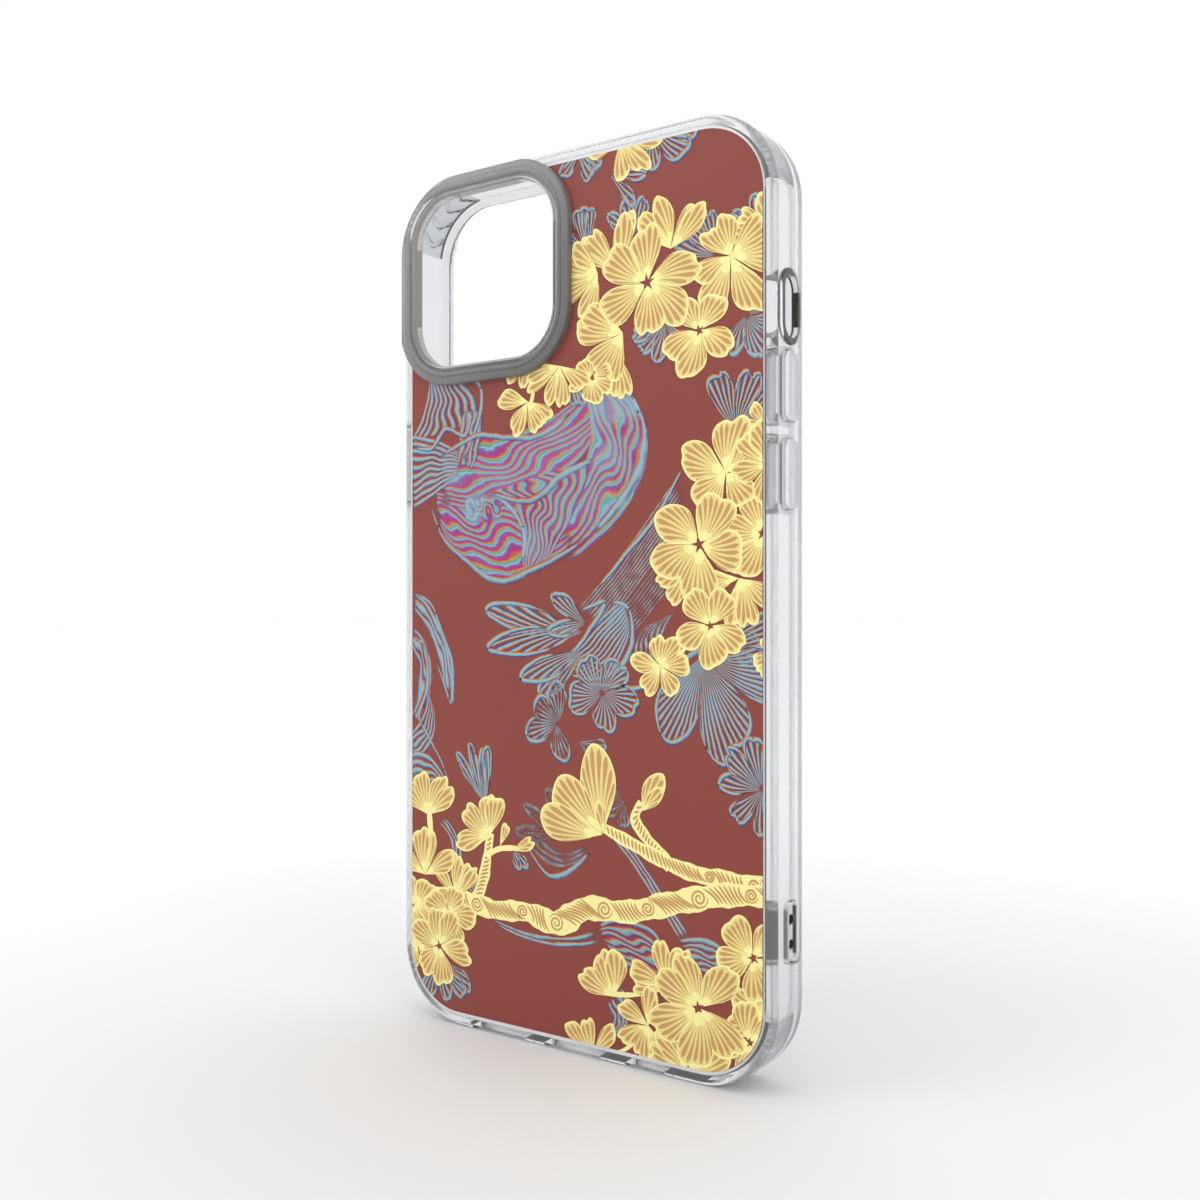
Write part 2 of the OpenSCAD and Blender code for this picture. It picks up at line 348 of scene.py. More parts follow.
FILM_W = (FILM_HIGH.x - FILM_LOW.x) / MM
FILM_H = (FILM_HIGH.z - FILM_LOW.z) / MM
FILM_CORNER = 12.0
GUARD_CORNER = 12.7
GUARD_CUT = (0.4, 0.1)  # the guard's band is cut back this much at the case's left and top
INK_MARGIN = 0.04       # ink stops this far inside the film and outside the guard
WELD = 0.0004           # points of ink nearer than this are one point
ROOT = 0.001            # the ink's edges reach this close to the film
FILM_BOX = (INK_MARGIN, INK_MARGIN, FILM_W - INK_MARGIN, FILM_H - INK_MARGIN)


def guard_box():
    left, top = on_film(GUARD_LOW.x, GUARD_HIGH.z)
    right, bottom = on_film(GUARD_HIGH.x, GUARD_LOW.z)
    return (left - GUARD_CUT[0] - INK_MARGIN, top - GUARD_CUT[1] - INK_MARGIN,
            right + INK_MARGIN, bottom + INK_MARGIN)


GUARD_BOX = guard_box()
FILM_EDGE = rounded_outline(FILM_BOX, FILM_CORNER)
GUARD_EDGE = rounded_outline(GUARD_BOX, GUARD_CORNER, 14)


def depth_in(point, box, radius):
    """Signed distance to a rounded rectangle, negative inside it."""
    left, top, right, bottom = box
    x = abs(point[0] - (left + right) / 2) - (right - left) / 2 + radius
    y = abs(point[1] - (top + bottom) / 2) - (bottom - top) / 2 + radius
    return math.hypot(max(x, 0), max(y, 0)) + min(max(x, y), 0) - radius


def halve(points, a, b, inner):
    """The part of a polygon on the inner or outer side of the line from a to b."""
    sign = 1 if inner else -1
    side = [sign * ((b[0] - a[0]) * (p[1] - a[1]) - (b[1] - a[1]) * (p[0] - a[0]))
            for p in points]
    kept = []
    for i, point in enumerate(points):
        j = (i + 1) % len(points)
        if side[i] >= 0:
            kept.append(point)
        if side[i] * side[j] < 0:
            share = side[i] / (side[i] - side[j])
            kept.append(tuple(u + (v - u) * share for u, v in zip(point, points[j])))
    return kept if len(kept) > 2 else []


def trimmed(points):
    """Pieces of a polygon that lie on the film and clear of the camera guard."""
    pieces = [points]
    if any(depth_in(p, FILM_BOX, FILM_CORNER) > 0 for p in points):
        for a, b in zip(FILM_EDGE, FILM_EDGE[1:] + FILM_EDGE[:1]):
            pieces = [halve(p, a, b, True) for p in pieces]
            pieces = [p for p in pieces if p]
    if min(p[0] for p in points) > GUARD_BOX[2] or min(p[1] for p in points) > GUARD_BOX[3]:
        return pieces
    outside = []
    for rest in pieces:
        for a, b in zip(GUARD_EDGE, GUARD_EDGE[1:] + GUARD_EDGE[:1]):
            cut = halve(rest, a, b, False)
            if cut:
                outside.append(cut)
            rest = halve(rest, a, b, True)
            if not rest:
                break
    return outside


class Print:
    """Flat ink shapes of one piece. Levels count printed layers above the film. Each point also
    carries where it lies in a ghost's line, the line's strength, its shine and its kind."""

    def __init__(self):
        self.points = []
        self.faces = []
        self.inks = []
        self.traits = []

    def polygon(self, points, level, ink=0, traits=None):
        traits = traits or [(0, 0, 0, 0)] * len(points)
        tagged = [(*p, *c) for p, c in zip(points, traits)]
        for piece in trimmed(tagged):
            start = len(self.points)
            for x, y, *trait in piece:
                self.points.append((x, y, level))
                self.traits.append(trait)
            self.faces.append(range(start, start + len(piece)))
            self.inks.append(ink)

    def strip(self, left, right, level, ink):
        for i in range(len(left) - 1):
            self.polygon([left[i], left[i + 1], right[i + 1], right[i]], level, ink)

    def patch(self, corner, rows, columns, level):
        """A grid whose corners, each a place and its traits, come from corner(row, column)."""
        for i in range(rows):
            for j in range(columns):
                ring = [corner(i, j), corner(i + 1, j), corner(i + 1, j + 1), corner(i, j + 1)]
                self.polygon([p for p, _ in ring], level, 0, [t for _, t in ring])

    def piece(self, name, materials, slot):
        """Makes the mesh object, riding on the case, its inks' edges reaching to the film."""
        layer = settings()[0].layer
        mesh = bpy.data.meshes.new(name)
        mesh.from_pydata(
            [(FILM_LOW.x + x * MM, FILM_LOW.y - level * layer, FILM_HIGH.z - y * MM)
             for x, y, level in self.points], [], [list(f) for f in self.faces],
        )
        for material in materials:
            mesh.materials.append(material)
        mesh.polygons.foreach_set("material_index", self.inks)
        ink = mesh.color_attributes.new("ink", "FLOAT_COLOR", "POINT")
        ink.data.foreach_set("color", [v for trait in self.traits for v in trait])
        work = bmesh.new()
        work.from_mesh(mesh)
        bmesh.ops.remove_doubles(work, verts=work.verts, dist=WELD * MM)
        bmesh.ops.dissolve_degenerate(work, edges=work.edges, dist=WELD * MM)
        for face in work.faces:
            face.normal_update()
            if face.normal.y > 0:
                face.normal_flip()
        rims = [edge for edge in work.edges if edge.is_boundary]
        walls = bmesh.ops.extrude_edge_only(work, edges=rims)["geom"]
        for vert in walls:
            if isinstance(vert, bmesh.types.BMVert):
                vert.co.y = FILM_LOW.y + ROOT * MM
        work.to_mesh(mesh)
        work.free()
        made = bpy.data.objects.new(name, mesh)
        bpy.context.scene.collection.objects.link(made)
        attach(made, "case")


def mix(a, b, share):
    return tuple(u + (v - u) * share for u, v in zip(a, b))


def bezier(a, b, c, d, steps):
    """Points along a cubic curve."""
    points = []
    for i in range(steps + 1):
        t = i / steps
        k = ((1 - t) ** 3, 3 * t * (1 - t) ** 2, 3 * t * t * (1 - t), t ** 3)
        points.append(tuple(sum(w * p[n] for w, p in zip(k, (a, b, c, d))) for n in (0, 1)))
    return points


def through(knots, steps):
    """A smooth line through knots, each a tuple of any length."""
    ends = [knots[0], *knots, knots[-1]]
    points = []
    for a, b, c, d in zip(ends, ends[1:], ends[2:], ends[3:]):
        for i in range(steps):
            t = i / steps
            points.append(tuple(
                0.5 * (2 * q + (r - p) * t + (2 * p - 5 * q + 4 * r - s) * t * t
                       + (3 * q - p - 3 * r + s) * t ** 3)
                for p, q, r, s in zip(a, b, c, d)
            ))
    return [*points, tuple(knots[-1])]


def normals(path):
    """Unit normals of a line, one for each point."""
    found = []
    for i in range(len(path)):
        a, b = path[max(i - 1, 0)], path[min(i + 1, len(path) - 1)]
        x, y = b[0] - a[0], b[1] - a[1]
        size = math.hypot(x, y) or 1.0
        found.append((-y / size, x / size))
    return found


def offset(path, amounts):
    """A line moved sideways, by one amount for each point."""
    return [(p[0] + n[0] * w, p[1] + n[1] * w) for p, n, w in zip(path, normals(path), amounts)]


def bend_radius(path, i):
    """Radius of a line's bend at one of its points."""
    if i in (0, len(path) - 1):
        return 99.0
    (ax, ay), (bx, by), (cx, cy) = path[i - 1:i + 2]
    turn = math.atan2(cy - by, cx - bx) - math.atan2(by - ay, bx - ax)
    turn = abs((turn + math.pi) % (2 * math.pi) - math.pi)
    return math.hypot(cx - ax, cy - ay) / 2 / max(turn, 0.01)


def taper(count, width, start, end):
    """Half widths along a stroke, from a share at its start, full, to a share at its end."""
    widths = []
    for i in range(count):
        t = i / (count - 1)
        ends = start + (end - start) * t
        widths.append(width / 2 * (ends + (1 - ends) * math.sin(math.pi * t) ** 0.6))
    return widths


def stroke(art, path, widths, level, ink):
    art.strip(offset(path, widths), offset(path, [-w for w in widths]), level, ink)


# ---------------------------------------------------------------- blossoms

CREAM_INK, RIB_INK, TAN_INK, DARK_INK = range(4)


class Petal:
    """One petal's outline and ribs around a flower's centre."""

    def __init__(self, centre, angle, length, spread, form, rng):
        self.centre, self.angle, self.length, self.spread = centre, angle, length, spread
        self.squash, self.squash_turn = form["squash"], math.radians(form["squash_turn"])
        self.power = form["power"]
        self.phase, self.notch = rng.uniform(0, 6.28), rng.uniform(0.0, 0.1)
        self.skew, self.lean = rng.uniform(-0.14, 0.14), rng.uniform(-0.3, 0.3)

    def reach(self, t):
        """How far out the petal's rim lies at t, from -1 to 1 across the petal."""
        body = max(1e-6, 1 - abs(t) ** self.power) ** (1 / max(2.0, self.power))
        wave = 1 + 0.05 * math.cos(4.6 * t + self.phase)
        notch = self.notch * math.exp(-((t - 0.05) / 0.14) ** 2) if self.power > 2 else 0
        return body * wave * (1 - notch) * (1 + self.skew * t)

    def at(self, s, t):
        """A point at share s of the way out, across the petal at t."""
        out = s * self.reach(t)
        splay = 0.74 + 0.78 * out - 0.54 * out * out
        angle = self.angle + self.lean * s + t * self.spread * splay
        x, y = self.length * out * math.cos(angle), self.length * out * math.sin(angle)
        c, k = math.cos(self.squash_turn), math.sin(self.squash_turn)
        along, aside = (x * c + y * k) * self.squash, y * c - x * k
        return self.centre[0] + along * c - aside * k, self.centre[1] + along * k + aside * c

    def edge(self, steps=26):
        return [self.at(1, 0.985 * (2 * i / steps - 1)) for i in range(steps + 1)]


def draw_petal(art, petal, level, rim, rng):
    """A cream petal, its ribs' lining and tapering tan stripes between them, within one layer."""
    edge = petal.edge()
    for a, b in zip(edge, edge[1:]):
        art.polygon([petal.at(0, 0), a, b], level, CREAM_INK)

    def inner(t):
        return petal.at(1 - rim / (petal.length * petal.reach(t)), t)

    steps = 20
    lining = [inner(0.86 * (2 * i / steps - 1)) for i in range(steps + 1)]
    foot = [petal.at(0.3, 0.8 * (2 * i / steps - 1)) for i in range(steps + 1)]
    art.strip(foot, lining, level + 0.33, RIB_INK)
    pitch = 0.84 + 0.05 * petal.length
    stripes = max(3, round(1.5 * petal.length * petal.spread / pitch))
    steps = 9
    for k in range(stripes):
        t = 0.82 * (2 * (k + 0.5) / stripes - 1)
        start = rng.uniform(0.2, 0.42)
        end = 1 - rim * rng.uniform(1.05, 1.7) / (petal.length * petal.reach(t))
        if end - start < 0.15:
            continue
        left, right = [], []
        for i in range(steps + 1):
            q = i / steps
            swell = min(1.0, 0.12 + q * 1.2) * math.sqrt(max(0.01, 1 - max(0, q - 0.8) ** 2 * 25))
            half = 0.82 / stripes * 0.68 * swell
            s = start + (end - start) * q
            left.append(petal.at(s, t - half))
            right.append(petal.at(s, t + half))
        art.strip(left, right, level + 0.66, TAN_INK)


def draw_heart(art, centre, size, turn, level, rng):
    """The dark star in the middle of an open flower."""
    tips = []
    for k in range(10):
        reach = size * (rng.uniform(0.7, 1.2) if k % 2 == 0 else rng.uniform(0.3, 0.5))
        angle = turn + k * math.pi / 5
        tips.append((centre[0] + reach * math.cos(angle), centre[1] + reach * math.sin(angle)))
    for a, b in zip(tips, tips[1:] + tips[:1]):
        art.polygon([centre, a, b], level, DARK_INK)


FORM = {"petals": 5, "arc": 360, "squash": 1.0, "squash_turn": 90, "lean": (0, 0),
        "power": 2.3, "wide": 0.56, "heart": True}


def petal_ring(centre, radius, turn, form, rng):
    """The petals of a flower: a full ring, or a fan when arc is under 360 degrees. A flower
    seen aslant has its far petals shorter than its near ones, by lean."""
    made = []
    full = form["arc"] >= 360
    ox, oy = form["lean"]
    for k in range(form["petals"]):
        share = k / form["petals"] if full else (k + 0.5) / form["petals"] - 0.5
        angle = math.radians(turn + share * form["arc"]) + rng.uniform(-0.09, 0.09)
        towards = ox * math.cos(angle) + oy * math.sin(angle)
        length = towards + math.sqrt(towards ** 2 + 1 - ox * ox - oy * oy)
        length *= radius * rng.uniform(0.92, 1.08)
        spread = math.radians(form["arc"]) / form["petals"] * form["wide"]
        made.append(Petal(centre, angle, length, spread, form, rng))
    return made


GHOST_LAYERS = 22       # layers kept for the ghosts and their overlaps
BRANCH_LAYER = GHOST_LAYERS + 2
FIRST_FLOWER = BRANCH_LAYER + 8
FLOWER_LAYERS = 3.3     # printed layers that one flower takes


def draw_blossom(art, rng, rim, x, y, radius, turn, rank, more):
    form = {**FORM, **more}
    level = FIRST_FLOWER + rank * FLOWER_LAYERS
    ring = petal_ring((x, y), radius, turn, form, rng)
    for k, petal in enumerate(ring):
        last = k == len(ring) - 1 and len(ring) % 2 == 1
        draw_petal(art, petal, level + (2 if last else k % 2), rim, rng)
    if form["heart"] and form["arc"] >= 360:
        draw_heart(art, (x, y), radius * 0.15, math.radians(turn + 20), level + 3, rng)


# ---------------------------------------------------------------- branches


class Bark:
    """A branch's middle line and half widths, found by the distance along it."""

    def __init__(self, knots, rng):
        path = through(knots, 10)
        self.line = [(p[0], p[1]) for p in path]
        self.far = [0.0]
        for a, b in zip(self.line, self.line[1:]):
            self.far.append(self.far[-1] + math.hypot(b[0] - a[0], b[1] - a[1]))
        first, second = rng.uniform(0, 6.28), rng.uniform(0, 6.28)
        self.half = [p[2] / 2 * (1 + 0.10 * math.sin(0.9 * d + first)
                                 + 0.05 * math.sin(2.2 * d + second))
                     for p, d in zip(path, self.far)]
        self.normals = normals(self.line)
        self.length = self.far[-1]

    def spot(self, distance):
        distance = max(0.0, min(self.length * 0.9999, distance))
        i = next(i for i, far in enumerate(self.far[1:]) if far > distance)
        return i, (distance - self.far[i]) / (self.far[i + 1] - self.far[i])

    def half_at(self, distance):
        i, share = self.spot(distance)
        return self.half[i] + (self.half[i + 1] - self.half[i]) * share

    def place(self, distance, across):
        i, share = self.spot(distance)
        x, y = mix(self.line[i], self.line[i + 1], share)
        nx, ny = mix(self.normals[i], self.normals[i + 1], share)
        return x + nx * across, y + ny * across


BARK_RIM = 0.42         # cream rim along a branch
BAND_PITCH = 0.9       # from one tan band of the bark to the next


def draw_branch(art, rng, knots, level):
    """A gnarled branch: cream bark crossed by bowed tan bands that wrap around curls."""
    bark = Bark(knots, rng)
    stroke(art, bark.line, bark.half, level, CREAM_INK)
    curls = []
    spot = rng.uniform(3, 6)
    while spot < bark.length - 2:
        radius = bark.half_at(spot) - BARK_RIM
        if radius > 1.0:
            curls.append((spot, radius))
        spot += rng.uniform(8, 12)
    for spot, radius in curls:
        draw_curl(art, bark.place(spot, 0), radius, rng.uniform(0, 6.28), level + 1)
    spot, band = 0.4, 0
    while spot < bark.length - 0.3:
        reach = bark.half_at(spot) - BARK_RIM
        gaps = [(spot - c, r) for c, r in curls]
        if reach > 0.3 and all(abs(gap) > r + 0.1 for gap, r in gaps):
            bow = sum(math.copysign(math.exp(-abs(gap) / 2.2), gap) for gap, _ in gaps)
            bow = 0.9 * reach * (bow if gaps else 0.6 * math.sin(0.45 * spot))
            slant = reach * (0.9 + 0.35 * math.cos(0.3 * spot + 1))
            path = [bark.place(spot + bow * (1 - v * v) + slant * v, reach * v)
                    for v in (-1, -0.7, -0.35, 0, 0.35, 0.7, 1)]
            stroke(art, path, taper(7, 0.44, 0.25, 0.25), level + 1 + 0.3 * (band % 2), TAN_INK)
        spot += BAND_PITCH * rng.uniform(0.9, 1.1)
        band += 1


def draw_curl(art, centre, radius, turn, level):
    """A spiral in the bark."""
    path = []
    for i in range(27):
        reach = radius * (1 - i / 29)
        angle = turn + i * 0.52
        path.append((centre[0] + reach * math.cos(angle), centre[1] + reach * math.sin(angle)))
    stroke(art, path, taper(len(path), 0.42, 0.4, 0.2), level, TAN_INK)


# ---------------------------------------------------------------- ghost flowers

SLIP = (0.42, 0.8)      # the way that the coloured fringes slip, in millimetres


def draw_fringed(art, path, width, level, strength, shine, kind=0.0):
    """A line whose edges run into the slipped colours on both sides."""
    count = len(path)
    half = taper(count, width, 0.15, 0.15)
    sides = []
    for i, (point, normal) in enumerate(zip(path, normals(path))):
        facing = normal[0] * SLIP[0] + normal[1] * SLIP[1]
        sign = 1 if facing >= 0 else -1
        reach = half[i] + abs(facing) * half[i] / width * 1.1
        reach = sign * min(reach, 0.8 * bend_radius(path, i))
        share = i / (count - 1)
        firm = strength * min(1.0, 8 * share, 8 * (1 - share))
        sides.append([((point[0] + normal[0] * way * reach, point[1] + normal[1] * way * reach),
                       (place, firm, shine, kind)) for way, place in ((-1, 0.02), (1, 0.98))])
    art.patch(lambda i, j: sides[i][j], count - 1, 1, level)


def draw_sheet(art, first, second, folds, level, strength, shine, kind, open_ends=(True, True)):
    """A surface swept from one curve over to another and crossed by coloured folds. An open
    end fades into the ground, the other stops at a sharp edge."""
    rows, columns = 22, max(8, folds)
    wave = 0.1 + 0.6 * kind
    a, b = bezier(*first, rows), bezier(*second, rows)

    def corner(i, j):
        u, v = i / rows, j / columns
        rise = min(1.0, 7 * u if open_ends[0] else 1, 7 * (1 - u) if open_ends[1] else 1)
        sway = wave * (math.sin(9 * u + 4 * v) + math.sin(17 * u - 6 * v)) * math.sin(math.pi * v)
        trait = (v * folds + sway, strength * rise * rise * (3 - 2 * rise),
                 shine[0] + (shine[1] - shine[0]) * u, kind)
        return mix(a[i], b[i], v), trait

    art.patch(corner, rows, columns, level)


def draw_ghost(art, rng, x, y, radius, turn, level, more):
    """A flower of fine slipped lines."""
    form = {**FORM, "strength": 1.0, "shine": 0.25, "line": 0.55, **more}
    strength, shine = form["strength"], form["shine"]
    for k, petal in enumerate(petal_ring((x, y), radius, turn, form, rng)):
        ribs = max(3, round(1.5 * petal.length * petal.spread / 0.95))
        rows, columns = 8, 2 * ribs
        floor = level + 2 * (k % 2)

        def corner(i, j):
            s, t = 0.1 + 0.9 * i / rows, 0.94 * (2 * j / columns - 1)
            trait = (ribs * (j / columns) + 0.15 * s, strength * (1.0 - 0.2 * s),
                     shine * (1.15 - s) * 1.4, 0)
            return petal.at(s, t), trait

        art.patch(corner, rows, columns, floor)
        draw_fringed(art, petal.edge(22), form["line"], floor + 1, strength, shine)


def fan(petals, arc, wide=FORM["wide"], **more):
    """The form of a flower whose petals cover only part of a ring."""
    return {"petals": petals, "arc": arc, "wide": wide, **more}


# ---------------------------------------------------------------- the picture's layout
# Places are in millimetres from the print's top left corner. Blossoms are x, y, radius, turn in
# degrees and tier, and a form where a flower isn't an open one seen from the front. A spray's
# flowers lie on top of each other in the order of their tiers.

TOP_SPRAY = [
    (51, -2, 8.4, 88, 1, fan(4, 170)),
    (49.5, 22, 10.2, 258, 0, fan(4, 105, 0.8)),
    (45.5, 21.5, 8.4, 165, 1, fan(4, 190)),
    (61, 19.5, 9.2, 284, 0, fan(4, 125, 0.8, power=2.1)),
    (79.5, 19, 6.4, 200, 0, fan(4, 200)),
    (73, 22.6, 9, 10, 1, {"petals": 7, "lean": (0.1, 0.15), "heart": False}),
    (56.2, 24.8, 10.6, 28, 2, {"petals": 6, "squash": 0.95}),
    (66.8, 34.4, 7.2, 18, 1, {"lean": (0, 0.1)}),
    (49.5, 36, 8.6, 80, 0, fan(2, 50, 0.8)),
    (51, 33, 9.8, 156, 1, fan(4, 130, 0.8)),
    (44.4, 40.4, 5.4, 30, 2, {"squash": 0.75, "lean": (0, 0.1)}),
    (37, 37.4, 7.8, 104, 2, fan(5, 200)),
    (28.5, 36, 5, 80, 0, fan(3, 150)),
    (29.6, 43.4, 6.4, 102, 1, fan(4, 210, lean=(-0.1, 0.1))),
]
RIGHT_SPRAY = [
    (79.5, 51.5, 4.8, 180, 0, fan(3, 150)),
    (72, 59, 8.8, 54, 1, {"lean": (-0.1, -0.12), "heart": False}),
    (80, 58, 7, 180, 2, fan(4, 220)),
    (64.5, 75.5, 7, 98, 0, fan(4, 190)),
    (74.5, 77, 8.6, 88, 1, fan(4, 180)),
    (79, 69.6, 8, 36, 0, {}),
    (66.8, 71.2, 10.2, 22, 2, {"petals": 5, "lean": (-0.05, 0)}),
    (69, 85, 7.2, 22, 3, {"squash": 0.95}),
    (59, 92.2, 5.8, 0, 1, {"petals": 6, "heart": False}),
    (81, 90, 4, 180, 0, fan(3, 160)),
]
LEFT_SPRAY = [
    (4.4, 123.4, 9, 264, 0, fan(4, 125, 0.8)),
    (20, 126.2, 8.6, 236, 0, fan(4, 150, 0.75)),
    (22.8, 127.6, 4.6, 296, 1, fan(2, 50, 0.8)),
    (26.2, 128.2, 5.2, 318, 1, fan(2, 46, 0.8, power=1.9)),
    (3.6, 135.4, 9.2, 268, 1, fan(4, 130, 0.8)),
    (11.5, 138.4, 7.8, 282, 0, fan(4, 150)),
    (0.8, 141.5, 7, 30, 0, {"squash": 0.85, "heart": False}),
    (10, 142.5, 6.4, 350, 1, {"heart": False}),
    (1.5, 149.5, 6.4, 100, 0, {"heart": False}),
    (7.4, 149, 7.8, 16, 2, {"petals": 6}),
]
LOW_SPRAY = [
    (49, 151.8, 8.4, 240, 0, fan(3, 125, 0.75)),
    (60.4, 148.4, 8, 236, 0, fan(4, 170)),
    (77.2, 140.4, 7.2, 12, 1, {}),
    (80, 149.6, 7.6, 160, 0, fan(4, 200)),
    (76.6, 154.6, 6.6, 30, 1, {}),
    (56.4, 155.6, 6.8, 168, 1, fan(5, 250)),
    (65, 162.6, 9.8, 268, 1, fan(5, 170, 0.75)),
    (66.6, 150.6, 9.8, 24, 2, {"petals": 6, "lean": (0, 0.06)}),
    (44.5, 163.4, 7.4, 258, 0, fan(3, 120)),
]
OPEN_BUDS = [
    (46.8, 122.6, 14.4, 256, 1, fan(1, 46, 0.75, power=1.5)),
    (46.6, 122.8, 14.4, 216, 2, fan(1, 44, 0.75, power=1.9)),
    (46.6, 123, 14, 174, 3, fan(1, 36, 0.75, power=1.6)),
    (46.8, 122.8, 6.2, 262, 4, fan(1, 34, 0.7, power=1.7)),
    (55, 118, 7.8, 298, 1, fan(1, 54, 0.7, power=1.5)),
    (55, 118, 6.2, 316, 2, fan(1, 40, 0.7, power=1.7)),
]
SPRAYS = {
    "blossom_spray_top": (TOP_SPRAY, 11),
    "blossom_spray_right": (RIGHT_SPRAY, 23),
    "blossom_spray_left": (LEFT_SPRAY, 37),
    "blossom_spray_low": (LOW_SPRAY, 41),
    "blossom_open_buds": (OPEN_BUDS, 59),
}
# Branches are knots of x, y and thickness.
BRANCHES = [
    [(16.5, 139.6, 3), (18.6, 134.5, 2.5), (19.6, 129.6, 2.1), (20.4, 125.4, 1.5)],
    [(19.4, 129.8, 1.3), (22.6, 128.2, 1.1), (26.8, 127.6, 0.9)],
    [(61, 127.2, 2.6), (55.8, 122.4, 2.2), (53.6, 119.4, 2), (55, 116.4, 1.7)],
    [(81, 128.4, 3.2), (72, 128.2, 3.4), (64, 127.4, 2.8), (57, 125.4, 2.6), (47, 121.8, 2)],
    [(81, 129.8, 3.4), (72, 130.6, 4), (62, 133.2, 4.2), (52, 136.2, 4), (43, 136.8, 4.4),
     (36.5, 140.4, 4.8), (29, 139.4, 3.8), (21, 140, 3.8), (12, 138.8, 3.6), (4, 139.2, 3)],
    [(30, 44.4, 0.8), (30.8, 41, 0.7), (30, 37, 0.7)],
    [(62.4, 90.6, 0.8), (64.2, 88.6, 0.7), (66, 86, 0.7)],
    [(48.6, 151.4, 1), (53, 150.8, 0.8), (58, 149.4, 0.8)],
    [(4.6, 123, 1.4), (5, 127, 1.2), (5.4, 131, 1.2)],
    [(48, 162.6, 0.8), (52, 160.4, 0.7), (55, 157, 0.7)],
]

# Sheets are two curves of four knots each, the number of folds, strength, shine at the start
# and at the end, and kind: 0 for fine lines, 1 for silky folds. Where not both ends fade, it
# also says which of them do.
SHEETS = [
    # the great silky flower on the left: belly, mantle, right lobe, middle and folds
    (((4, 59), (12, 60), (20, 57), (36, 61)), ((6, 66), (15, 78), (27, 80), (40, 70)),
     9, 1, (0, 0.1), 1, (True, False)),
    (((4, 54), (18, 46), (30, 53), (44, 41)), ((5, 61), (22, 66), (40, 62), (53, 42)),
     8, 1, (0.15, 0.1), 1, (True, False)),
    (((42, 42), (46, 52), (44, 57), (34, 63)), ((51, 42), (63, 54), (53, 68), (36, 75)),
     7, 1, (0.6, 0.1), 0.9, (False, True)),
    (((20, 60), (27, 60), (29, 66), (28, 74)), ((44, 55), (43, 62), (38, 68), (33, 75)),
     8, 1, (0.1, 0.5), 0.75, (False, False)),
    (((14, 61), (16, 60), (20, 60), (23, 61)), ((14, 65), (17, 66), (20, 66), (23, 65)),
     2, 1, (0.8, 0.8), 0.8, (False, False)),
    # the fans below the camera
    (((5, 35), (4, 42), (2, 47), (-3, 50)), ((7, 35), (13, 38), (19, 40), (17, 48)),
     9, 1, (0.45, 0), 0.25),
    (((14, 53), (9, 49), (5, 48), (-2, 47)), ((13, 56), (9, 58), (5, 61), (-1, 63)),
     10, 1, (0.5, 0.05), 0.2),
    (((12, 55), (12, 50), (12, 47), (14, 43)), ((15, 56), (18, 53), (19, 48), (18, 42)),
     4, 0.85, (0.4, 0.2), 0.3),
    # the wing at the left edge
    (((-1, 78), (8, 82), (11, 91), (10.5, 101)), ((-1, 82), (5, 85), (8, 93), (8.5, 99)),
     3, 1, (0.5, 0.4), 0.2),
    (((-1, 86), (6, 87), (8, 98), (1, 108)), ((-1, 90), (2, 91), (3, 99), (-1, 105)),
     3, 1, (0.3, 0.4), 0.4),
    (((-1, 108), (2, 105), (5, 102), (4, 97)), ((-1, 113), (5, 112), (8, 107), (5, 100)),
     5, 0.9, (0.3, 0.1), 0.2),
    (((-1, 112), (3, 109), (7, 112), (10, 118)), ((-1, 121), (2, 120), (6, 119), (9, 120)),
     6, 0.9, (0.4, 0.2), 0.1),
    # the leaf in the middle, and the veil that joins it to the flowers on the right
    (((39, 84), (47, 77), (55, 68), (64, 57)), ((45, 88), (51, 82), (58, 74), (66, 64)),
     11, 0.72, (0, 0), 0.05),
    (((44, 89), (52, 81), (60, 73), (66, 64)), ((50, 90), (56, 84), (62, 78), (68, 70)),
     8, 0.62, (0, 0), 0.05),
    (((37, 92), (42, 88), (46, 82), (53, 80)), ((40, 95), (46, 97), (52, 93), (53, 83)),
     10, 0.9, (0.2, 0.55), 0.1),
    (((56, 95), (52, 92), (52, 87), (58, 84)), ((60, 92), (58, 88), (60, 84), (63, 82)),
     6, 0.7, (0.2, 0.1), 0.1),
    # stems and shadows around the branches
    (((47, 122), (53, 127), (58, 134), (64, 141)), ((49, 121), (55, 126), (61, 134), (66, 140)),
     3, 0.85, (0.4, 0.4), 0),
    (((44, 141), (50, 137), (56, 138), (62, 144)), ((47, 143), (52, 145), (60, 147), (67, 149)),
     5, 0.9, (0, 0), 0.5),
    (((18, 141), (28, 144), (38, 144), (46, 140)), ((20, 142), (29, 146), (39, 146), (48, 142)),
     2, 0.8, (0.3, 0.3), 0),
    (((28, 124), (31, 131), (38, 133), (46, 125)), ((31, 123), (34, 127), (39, 129), (44, 124)),
     3, 0.6, (0.3, 0.3), 0),
    (((9, 132), (13, 136), (17, 139), (24, 142)), ((11, 130), (15, 134), (18, 136), (19, 139)),
     4, 0.85, (0.3, 0.3), 0.1),
    (((6, 124), (11, 127), (12, 131), (9, 137)), ((8, 123), (13, 126), (14, 130), (13, 135)),
     3, 0.85, (0.4, 0.4), 0.1),
    (((62, 141), (68, 138), (72, 140), (74, 144)), ((64, 144), (68, 144), (72, 146), (76, 146)),
     5, 0.85, (0.1, 0.1), 0.3),
    (((66, 157), (71, 156), (76, 160), (80, 161)), ((70, 152), (74, 153), (78, 156), (82, 158)),
     7, 0.9, (0.6, 0.4), 0.1),
    (((50, 149), (54, 153), (53, 157), (48, 160)), ((47, 153), (49, 155), (50, 157), (46, 159)),
     4, 0.9, (0.4, 0.2), 0.2),
]
